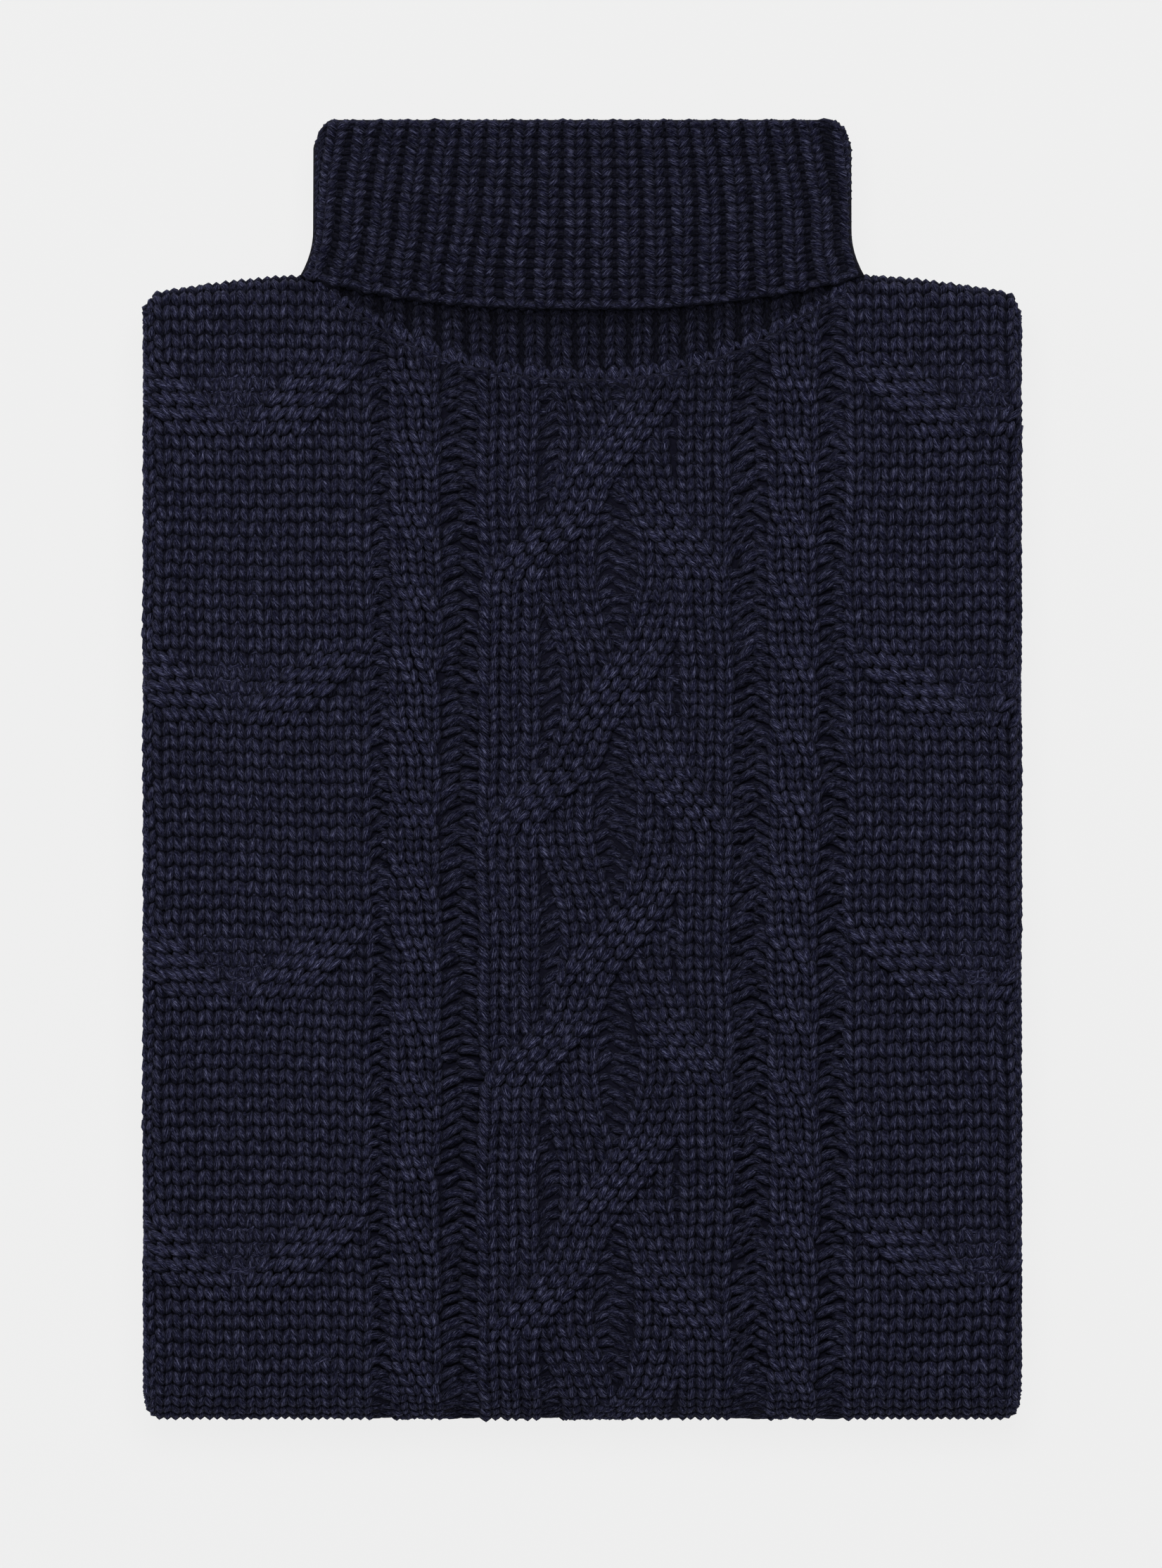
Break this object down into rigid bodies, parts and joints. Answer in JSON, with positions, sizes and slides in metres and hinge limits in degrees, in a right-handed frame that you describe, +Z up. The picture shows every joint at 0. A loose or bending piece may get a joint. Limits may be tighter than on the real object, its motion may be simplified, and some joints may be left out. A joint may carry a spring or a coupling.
{
  "type": "folded roll-neck cable-knit sweater",
  "caption": "Chunky cable-knit sweater with a turned-down rib roll neck, folded flat with the sleeves, sides and lower half behind.",
  "frame": {"origin": "centre of the folded sweater's outline, on the surface that it lies on", "axes": "+Z up out of the front, +Y from the bottom fold towards the roll neck, +X to the right in the picture"},
  "size_m": [0.3374, 0.497, 0.048],
  "materials": {
    "cable_knit": "matt heathered wool",
    "rib_knit": "matt heathered wool",
    "plain_knit": "matt heathered wool"
  },
  "bodies": {
    "root": {"front": "cable_knit", "hem_rib": "rib_knit", "folded_layers": "plain_knit", "collar_turndown": "rib_knit", "neck_stand": "rib_knit"}
  },
  "joints": []
}
